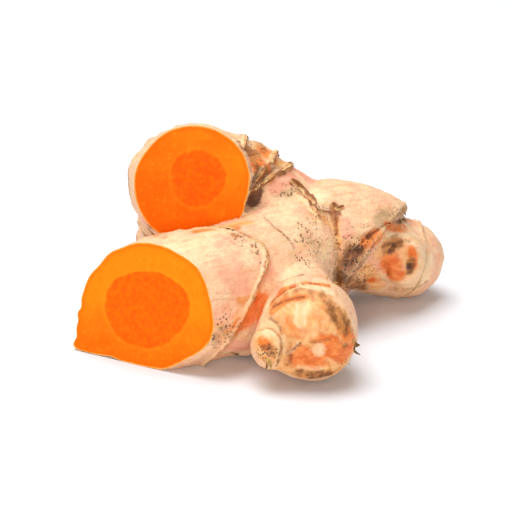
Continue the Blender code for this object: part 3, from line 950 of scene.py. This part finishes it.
shade = laid(shade, rise(rim, 1.5, 0.3), 0.6, 255, 112, 0)
shade = laid(shade, rise(rim, 0.34, 0.10), 0.8, 255, 186, 84)
painted(shader, shade, reckon("ADD", cells, fine), 0.35, 0.15)

for name, *facts in (
    ("front_slice", front_rim, FRONT_CUT, FRONT_CORE, FRONT_DEEP),
    ("upper_slice", upper_rim, UPPER_CUT, UPPER_CORE, UPPER_DEEP),
):
    piece = sliced_face(name, *facts)
    piece.data.materials.append(flesh_finish)
    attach(piece, "root")
    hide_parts("turmeric_rhizome")


# Dry leaf scales: papery rests of the sheaths that once wrapped each joint. Each is a thin sheet
# rooted in a ring's line, that leans towards the finger's tip and ends in a torn, darker edge.
SHEET = 0.09
ACROSS = np.linspace(-0.35, 1.0, 7)[:, None]
ROOTED = 0.12
AROUND = 260
UPRIGHT = (0.2, 0.1, 0.97)
PULLS = 6
# A torn edge has teeth of several shares and lengths, is lost in stretches, and lifts unevenly.
TEETH = ((0.2, 0.7), (0.8, 2.8))
STRETCH = 3.5
LIFTED = 1.4
CURL = 1.6
# Each ring's finger and number, how wide and how far lifted its rest is, and how much is left.
RING_SCALES = (
    (0, 0, 0.8, 0.22, 0.55), (0, 3, 1.5, 0.40, 0.75), (0, 4, 0.7, 0.20, 0.5), (0, 5, 1.3, 0.40, 0.7),
    (0, 6, 1.4, 0.45, 0.7), (1, 0, 1.1, 0.30, 0.6), (1, 1, 1.3, 0.40, 0.7), (1, 2, 1.0, 0.30, 0.6),
    (1, 3, 1.0, 0.30, 0.7), (2, 0, 1.0, 0.30, 0.7), (2, 1, 1.1, 0.35, 0.7), (2, 2, 0.9, 0.30, 0.6),
)
# Scales that the photograph shows by themselves: their route over its pixels, width and lift.
TORN_SCALES = (
    (((290, 182), (298, 187), (306, 196), (313, 205)), 1.2, 0.45),
    (((312, 204), (317, 209), (323, 212), (331, 213)), 0.7, 0.25),
    (((331, 204), (334, 208), (338, 211), (345, 208)), 0.9, 0.35),
)


def pulled(spots, measure):
    """Moves spots straight towards where a measure of them is nought."""
    out = measure(spots)
    slope = np.stack([measure(spots + step) - out for step in NUDGE * np.eye(3)], axis=1) / NUDGE
    return spots - np.clip(out, -2, 2)[:, None] * slope / np.maximum((slope**2).sum(axis=1), 0.3)[:, None]


def ring_route(finger, number):
    """Where a ring's line runs on the skin, found by pulling a circle round the finger's path in
    turn onto the ring's planes and onto the skin, and which spots of it show."""
    path, (planes, middle, reach, *_) = PATHS[finger], FINGERS[finger][1][number]
    near = np.linalg.norm(path[:, :3] - middle, axis=1) + np.abs(past_planes(path[:, :3], planes))
    station = np.argmin(near)
    heading = np.gradient(path[:, :3], axis=0)[station]
    side = np.cross(heading, UPRIGHT)
    side /= np.linalg.norm(side)
    over = np.cross(heading, side)
    over /= np.linalg.norm(over)
    turn = np.linspace(0, 2 * np.pi, AROUND, endpoint=False)[:, None]
    spots = path[station, :3] + path[station, 3] * (np.cos(turn) * side + np.sin(turn) * over)
    for _ in range(PULLS):
        spots = pulled(spots, lambda s: past_planes(s, planes))
        spots = pulled(spots, rhizome_field)
    own = finger_fields(spots)[finger]
    shown = (np.abs(past_planes(spots, planes)) < 0.3) & (np.abs(own) < 1.2) & (spots[:, 2] > 0.3)
    shown &= (near_ring(spots, middle, reach) > 0.35) & (past_cut(spots, FRONT_CUT) < -0.5)
    return spots, shown, planes[0][1]


def jagged(run, size, draw):
    """Uneven teeth from 0 to 1 along a run of lengths: straight lines between random heights."""
    marks = np.cumsum(draw.uniform(0.3, 1.7, int(run[-1] / size) + 4)) * size
    return np.interp(run, marks, draw.uniform(0, 1, len(marks)))


def papery_sheet(spots, shown, towards, width, lift, left, draw):
    """A scale as a grid of two parameters, across it and along its route: it follows the skin,
    rooted in it at one side, and rises towards its torn edge by a power of the way across."""
    slope = slope_of(spots, rhizome_field(spots))
    tangent = np.gradient(spots, axis=0)
    tangent /= np.maximum(np.linalg.norm(tangent, axis=1, keepdims=True), 1e-6)
    side = np.cross(slope, tangent)
    side *= np.sign((side @ np.array(towards)).sum())
    run = np.concatenate([[0], np.cumsum(np.linalg.norm(np.diff(spots, axis=0), axis=1))])
    teeth = sum(share * jagged(run, size, draw) for share, size in TEETH)
    there = shown * (jagged(run, STRETCH, draw) < left)
    there = np.convolve(np.pad(there, 3, mode="edge"), np.ones(7) / 7, mode="valid")
    reach = width * (0.25 + 0.75 * teeth) * there
    grid = spots + (ACROSS * reach)[..., None] * side
    flat = grid.reshape(-1, 3)
    grid = grid - rhizome_field(flat).reshape(grid.shape[:2])[..., None] * slope
    rise_by = lift * (0.4 + 0.8 * jagged(run, LIFTED, draw)) * np.clip(ACROSS, 0, 1) ** CURL
    rise_by = rise_by * there - ROOTED * (ACROSS < 0.1)
    return grid + rise_by[..., None] * slope, run, there > 0.2


def strip_piece(name, sheets, dryness):
    """Joins sheets into one piece, with the run along each kept, and how dry it is: dryness at
    its root and 1 more at its torn edge. Sheets are told apart by runs that start 50 mm apart."""
    spots, faces, across, runs, first = [], [], [], [], 0
    for number, (grid, run, there) in enumerate(sheets):
        rows, columns = grid.shape[:2]
        index = first + np.arange(rows * columns).reshape(rows, columns)
        quads = np.stack([index[:-1, :-1], index[:-1, 1:], index[1:, 1:], index[1:, :-1]], axis=2)
        faces.append(quads[:, there[:-1] & there[1:]].reshape(-1, 4))
        spots.append(grid.reshape(-1, 3))
        across.append(np.repeat(np.clip(ACROSS.ravel(), 0, 1) + dryness, columns))
        runs.append(np.tile(run + 50 * number, rows))
        first += rows * columns
    piece = new_piece(name, np.vstack(spots), np.vstack(faces))
    keep(piece, "across", np.concatenate(across))
    keep(piece, "run", np.concatenate(runs))
    work = bmesh.new()
    work.from_mesh(piece.data)
    bmesh.ops.delete(work, geom=[v for v in work.verts if not v.link_faces], context="VERTS")
    work.to_mesh(piece.data)
    work.free()
    piece.data.shade_smooth()
    sheet = piece.modifiers.new("sheet", "SOLIDIFY")
    sheet.thickness, sheet.offset = SHEET * MM, 0
    piece.data.materials.append(scale_finish)
    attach(piece, "root")


scale_finish, nodes, shader = new_material("dry_scale", 0.6, 0.3, 0.15)
where = in_millimetres(nodes)
fibres = node(nodes, "CombineXYZ", {
    "X": times(attribute(nodes, "run"), 4.0), "Y": attribute(nodes, "across"),
}).outputs[0]
fibres = noise(fibres, 1.0, 3.0)
patchy = noise(where, 1.8, 3.0)
shade = mixed(rise(patchy, 0.38, 0.62), colour(244, 196, 134), colour(214, 148, 84))
shade = laid(shade, rise(fibres, 0.48, 0.66), 0.6, 170, 100, 48)
edge = swayed(attribute(nodes, "across"), patchy, 1.6)
shade = laid(shade, rise(edge, 0.55, 1.1), 0.85, 124, 66, 26)
painted(shader, shade, fibres, 0.5, 0.1)

draw = np.random.default_rng(4)
sheets = []
for finger, number, width, lift, left in RING_SCALES:
    spots, shown, towards = ring_route(finger, number)
    sheets.append(papery_sheet(spots, shown, towards, width, lift, left, draw))
strip_piece("ring_scales", sheets, dryness=0.3)
sheets = []
for pixels, width, lift in TORN_SCALES:
    knots = [(*seen_at(pixel, tree), 0) for pixel in pixels]
    spots = smooth_path(knots, 12)[:, :3]
    for _ in range(3):
        spots = pulled(spots, rhizome_field)
    towards = np.cross(np.array(towards_camera), spots[-1] - spots[0])
    sheets.append(papery_sheet(spots, np.ones(len(spots), bool), towards, width, lift, 1.1, draw))
strip_piece("torn_scales", sheets, dryness=0.45)


# Rootlets and fibres: dry threads that break through the skin, mostly round the tips and below.
# Those that the photograph shows start at its pixels; the others are strewn on the back and sides.
THREADS = (
    ((355, 345), (0.8, -0.2, -0.4), 1.5, 0.60), ((356, 349), (0.8, -0.2, -0.7), 1.7, 0.50),
    ((353, 341), (0.8, -0.1, 0.2), 1.1, 0.45), ((354, 351), (0.6, -0.3, -0.8), 1.6, 0.30),
    ((354, 348), (1.0, -0.1, -0.3), 1.4, 0.30),
    ((345, 361), (0.0, -0.4, -1.0), 1.8, 0.10), ((342, 363), (0.2, -0.4, -1.0), 1.2, 0.08),
    ((268, 361), (-0.1, -0.5, -0.9), 2.0, 0.42), ((271, 363), (0.2, -0.4, -0.9), 1.5, 0.30),
    ((402, 219), (1.0, 0.0, 0.15), 2.0, 0.16), ((332, 283), (0.6, -0.4, 0.5), 1.5, 0.12),
    ((246, 136), (-0.9, 0.2, 0.5), 1.6, 0.14), ((258, 140), (0.2, 0.2, 1.0), 0.9, 0.20),
    ((288, 163), (0.5, 0.1, 0.8), 0.9, 0.18), ((229, 337), (-0.5, -0.8, -0.2), 1.2, 0.12),
)
STREWN = 34
THREAD_STEPS = 9
BEND = 0.35
ROOT = 0.4
ABOVE = 0.35


def thread(start, heading, length, thick, draw):
    """A thread as a path of shrinking radius that sets out along its heading and wanders."""
    share = np.linspace(0, 1, THREAD_STEPS)[:, None]
    heading = np.array(heading) / np.linalg.norm(heading)
    bend = BEND * length * draw.normal(size=3) * share**2
    spots = start + heading * (share * length - ROOT) + bend
    spots[:, 2] = np.maximum(spots[:, 2], ABOVE)
    return np.hstack([spots, thick * (1 - 0.85 * share**1.5) + 0.03])


draw = np.random.default_rng(12)
paths = [thread(seen_at(pixel, tree), *facts, draw) for pixel, *facts in THREADS]
corners = spots_of(skin)
facing = np.empty(len(corners) * 3)
skin.data.vertices.foreach_get("normal", facing)
away = facing.reshape(-1, 3) @ np.array(towards_camera) < -0.5
hidden = corners[away & (past_cut(corners, FRONT_CUT) < -3) & (corners[:, 2] > 1.5)]
starts = hidden[draw.choice(len(hidden), STREWN, replace=False)]
for start, heading in zip(starts, slope_of(starts, rhizome_field(starts))):
    paths.append(thread(start, heading, draw.uniform(0.8, 2.2), draw.uniform(0.08, 0.24), draw))
rootlets = tubes("rootlets", [tube_grid(path, around=8) for path in paths])
rootlets.data.shade_smooth()
thread_finish, nodes, shader = new_material("dry_thread", 0.65, 0.25, 0.1)
tint = noise(in_millimetres(nodes), 2.2, 2.0)
shade = mixed(rise(tint, 0.35, 0.65), colour(206, 160, 92), colour(92, 58, 32))
nodes.links.new(shade, shader.inputs["Base Color"])
rootlets.data.materials.append(thread_finish)
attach(rootlets, "root")


# The studio: a white table that the light washes out, a broad soft lamp high behind it, so that
# shadows fall forwards, and a low one in front that fills the sliced faces, with white all round.
FLOOR = 3.0
floor = bpy.data.objects.new("floor", bpy.data.meshes.new("floor"))
corners = [(x * FLOOR, y * FLOOR, 0) for x, y in ((-1, -1), (1, -1), (1, 1), (-1, 1))]
floor.data.from_pydata(corners, [], [(0, 1, 2, 3)])
bpy.context.scene.collection.objects.link(floor)
floor_finish, nodes, shader = new_material("white_table", 0.9, 0.0)
shader.inputs["Base Color"].default_value = (0.84, 0.85, 0.88, 1)
floor.data.materials.append(floor_finish)
floor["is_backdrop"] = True

for name, place, size, power in (
    ("key_lamp", (-0.18, 0.08, 0.88), 0.75, 10.0),
    ("fill_lamp", (0.02, -0.95, 0.24), 0.34, 3.4),
):
    light = bpy.data.objects.new(name, bpy.data.lights.new(name, "AREA"))
    light.data.size, light.data.energy = size, power
    light.location = place
    light.rotation_mode = "QUATERNION"
    light.rotation_quaternion = (AIM - light.location).to_track_quat("-Z", "Y")
    bpy.context.scene.collection.objects.link(light)

world = bpy.data.worlds.new("white_room")
world.use_nodes = True
world.node_tree.nodes["Background"].inputs["Color"].default_value = (1, 1, 1, 1)
world.node_tree.nodes["Background"].inputs["Strength"].default_value = 0.28
bpy.context.scene.world = world
bpy.context.scene.view_settings.view_transform = "Standard"

low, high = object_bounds()
